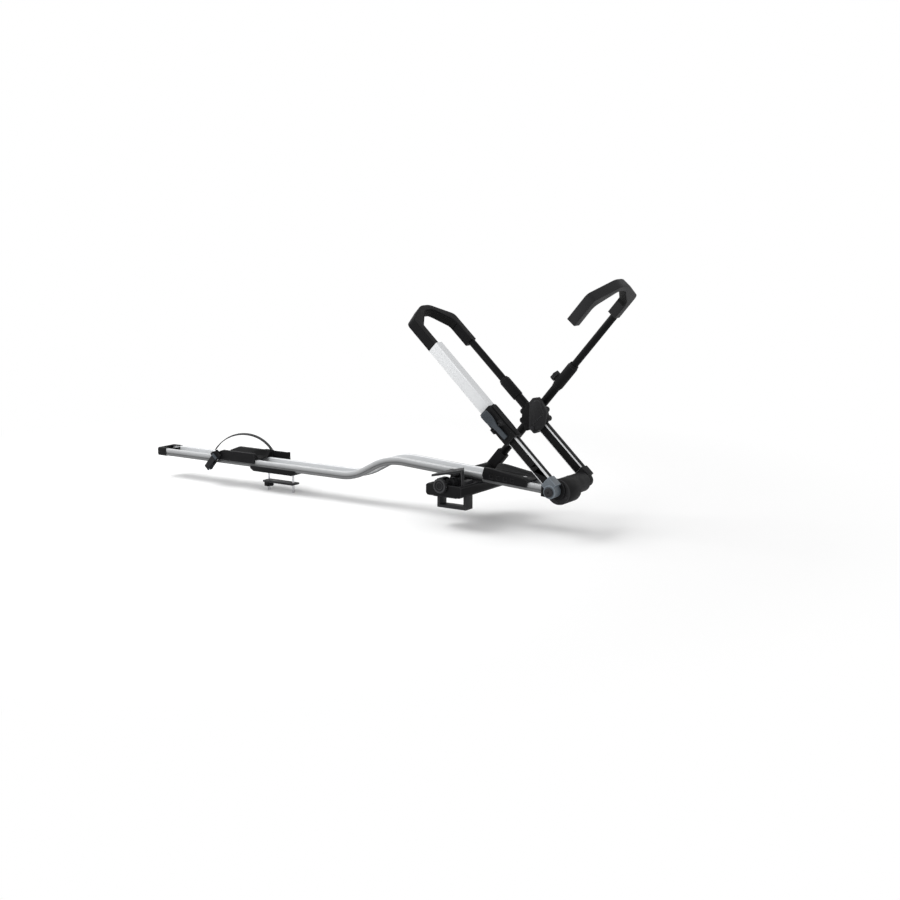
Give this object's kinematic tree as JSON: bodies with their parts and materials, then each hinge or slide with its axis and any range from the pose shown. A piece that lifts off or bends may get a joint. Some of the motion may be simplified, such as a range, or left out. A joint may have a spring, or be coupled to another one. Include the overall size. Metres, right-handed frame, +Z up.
{
  "type": "roof mounted bike carrier",
  "caption": "Upright roof bike carrier: long silver tray with a gooseneck, bar clamps, wheel cradle, strap holder and two crossing arms with rubber-lined tyre hooks.",
  "frame": {"origin": "middle of the front bar seat, on the underside of the rubber pad under the front foot", "axes": "+X forward along the tray, +Y to the left, +Z up"},
  "size_m": [1.7605, 0.327, 0.7314],
  "materials": {
    "black_plastic": "fine grained black plastic",
    "dark_plastic": "satin dark grey plastic",
    "grey_plastic": "satin blue-grey plastic",
    "hub_grey": "satin grey plastic",
    "knob_grey": "satin dark grey plastic",
    "silver_aluminium": "clear anodised",
    "black_tube": "black powder coat on steel",
    "steel": "zinc plated",
    "dark_steel": "black coated steel",
    "rubber": "moulded rubber",
    "bush": "plain bearing"
  },
  "bodies": {
    "carrier": {"tray_rail": "silver_aluminium", "tray_end_cap": "black_plastic", "wheel_cradle": "black_plastic", "cradle_screws": "steel", "head_housing": "black_plastic", "drum_cover": "dark_plastic", "cover_screws": "dark_steel", "pivot_bushes": "bush", "front_arm_pin": "steel", "foot_body": "black_plastic", "foot_pad": "rubber", "lid_pin": "steel"},
    "hook_frame": {"pivot_shaft": "steel", "near_hub": "hub_grey", "far_hub": "black_plastic", "hub_bolts": "dark_steel", "near_lower_tube": "silver_aluminium", "near_rack": "black_plastic", "near_strip": "black_plastic", "far_lower_tube": "silver_aluminium", "far_strips": "black_plastic", "cross_bracket": "black_plastic", "cross_latch_pin": "dark_steel", "far_guide_tube": "black_tube", "far_sleeve": "black_plastic"},
    "latch": {"cross_latch": "dark_plastic"},
    "rear_hook": {"slider_housing": "black_plastic", "slider_cover": "black_plastic", "lever_pin": "dark_steel", "near_upper_tube": "silver_aluminium", "far_rod": "black_tube", "rear_hook": "black_plastic", "rear_hook_pad": "rubber"},
    "release_lever": {"ratchet_lever": "grey_plastic"},
    "pawl": {"ratchet_pawl": "steel"},
    "front_arm": {"front_arm_eye": "black_plastic", "front_lower_tube": "black_tube", "size_sleeve": "black_plastic"},
    "size_knob": {"size_knob": "knob_grey"},
    "front_hook": {"front_upper_tube": "black_tube", "front_hook": "dark_plastic", "front_hook_pad": "rubber"},
    "foot_lid": {"foot_lid": "dark_plastic"},
    "lock": {"lock_cylinder": "dark_steel"},
    "torque_knob": {"torque_knob": "knob_grey", "clamp_screw": "dark_steel"},
    "wedge": {"clamp_wedge": "dark_steel"},
    "front_jaw": {"clamp_jaw": "dark_steel"},
    "rear_clamp": {"rear_clamp_plate": "black_plastic", "rear_clamp_studs": "steel"},
    "rear_jaw": {"rear_clamp_jaw": "dark_steel"},
    "rear_knob": {"rear_clamp_knob": "black_plastic"},
    "rear_holder": {"rear_wheel_holder": "black_plastic", "wheel_strap": "dark_plastic", "strap_buckle": "black_plastic", "buckle_pin": "steel", "strap_tail": "black_plastic"},
    "buckle_lever": {"buckle_lever": "grey_plastic"}
  },
  "joints": [
    {"name": "frame_fold", "type": "hinge", "parent": "carrier", "child": "hook_frame", "pos_m": [0.32405, 0, 0.04423], "axis": [0, 1, 0], "range_deg": [-30, 25]},
    {"name": "latch_turn", "type": "hinge", "parent": "hook_frame", "child": "latch", "pos_m": [0.15706, 0.097, 0.18627], "axis": [0, 1, 0], "range_deg": [-25, 40]},
    {"name": "rear_hook_slide", "type": "slide", "parent": "hook_frame", "child": "rear_hook", "axis": [-0.7314, 0, 0.682], "range_m": [-0.12, 0.08]},
    {"name": "release_press", "type": "hinge", "parent": "rear_hook", "child": "release_lever", "pos_m": [0.15744, -0.1259, 0.21601], "axis": [-0.682, 0, -0.7314], "range_deg": [0, 5], "stiffness_Nm_per_rad": 0.6, "springref_deg": -8.59},
    {"name": "pawl_lift", "type": "slide", "parent": "rear_hook", "child": "pawl", "axis": [0, -1, 0], "range_m": [0, 0.0025]},
    {"name": "front_arm_fold", "type": "hinge", "parent": "carrier", "child": "front_arm", "pos_m": [-0.023, 0.131, 0.041], "axis": [0, 1, 0], "range_deg": [-122, 5]},
    {"name": "size_knob_turn", "type": "hinge", "parent": "front_arm", "child": "size_knob", "pos_m": [0.19708, 0.131, 0.34487], "axis": [-0.7604, 0, 0.6494], "range_deg": [0, 360]},
    {"name": "front_hook_slide", "type": "slide", "parent": "front_arm", "child": "front_hook", "axis": [0.6494, 0, 0.7604], "range_m": [-0.12, 0.03]},
    {"name": "lid_open", "type": "hinge", "parent": "carrier", "child": "foot_lid", "pos_m": [0, -0.06, 0.063], "axis": [-1, 0, 0], "range_deg": [0, 88]},
    {"name": "lock_turn", "type": "hinge", "parent": "foot_lid", "child": "lock", "pos_m": [0.025, -0.136, 0.078], "axis": [0, 0, 1], "range_deg": [0, 90]},
    {"name": "torque_turn", "type": "hinge", "parent": "carrier", "child": "torque_knob", "pos_m": [-0.006, -0.165, 0.036], "axis": [0, -1, 0], "range_deg": [-900, 1080]},
    {"name": "wedge_slide", "type": "slide", "parent": "carrier", "child": "wedge", "axis": [0, -1, 0], "range_m": [-0.01, 0.012]},
    {"name": "front_jaw_slide", "type": "slide", "parent": "carrier", "child": "front_jaw", "axis": [0, 0, 1], "range_m": [-0.00577, 0.00693]},
    {"name": "rear_clamp_slide", "type": "slide", "parent": "carrier", "child": "rear_clamp", "axis": [1, 0, 0], "range_m": [-0.1, 0.15]},
    {"name": "rear_jaw_slide", "type": "slide", "parent": "rear_clamp", "child": "rear_jaw", "axis": [0, 0, 1], "range_m": [-0.01, 0.006]},
    {"name": "rear_knob_turn", "type": "hinge", "parent": "rear_jaw", "child": "rear_knob", "pos_m": [-0.80741, 0, -0.07176], "axis": [0, 0, 1], "range_deg": [-1801, 1081]},
    {"name": "holder_slide", "type": "slide", "parent": "carrier", "child": "rear_holder", "axis": [1, 0, 0], "range_m": [-0.18, 0.03]},
    {"name": "buckle_open", "type": "hinge", "parent": "rear_holder", "child": "buckle_lever", "pos_m": [-0.99316, -0.05845, 0.0082], "axis": [-0.7547, 0, 0.6561], "range_deg": [0, 110]}
  ],
  "couplings": [
    {"joint": "pawl_lift", "follows": "release_press", "m_per_rad": 0.028075},
    {"joint": "wedge_slide", "follows": "front_jaw_slide", "ratio": 1.7321},
    {"joint": "torque_turn", "follows": "front_jaw_slide", "rad_per_m": 2720.7},
    {"joint": "rear_knob_turn", "follows": "rear_jaw_slide", "rad_per_m": 3141.6}
  ]
}
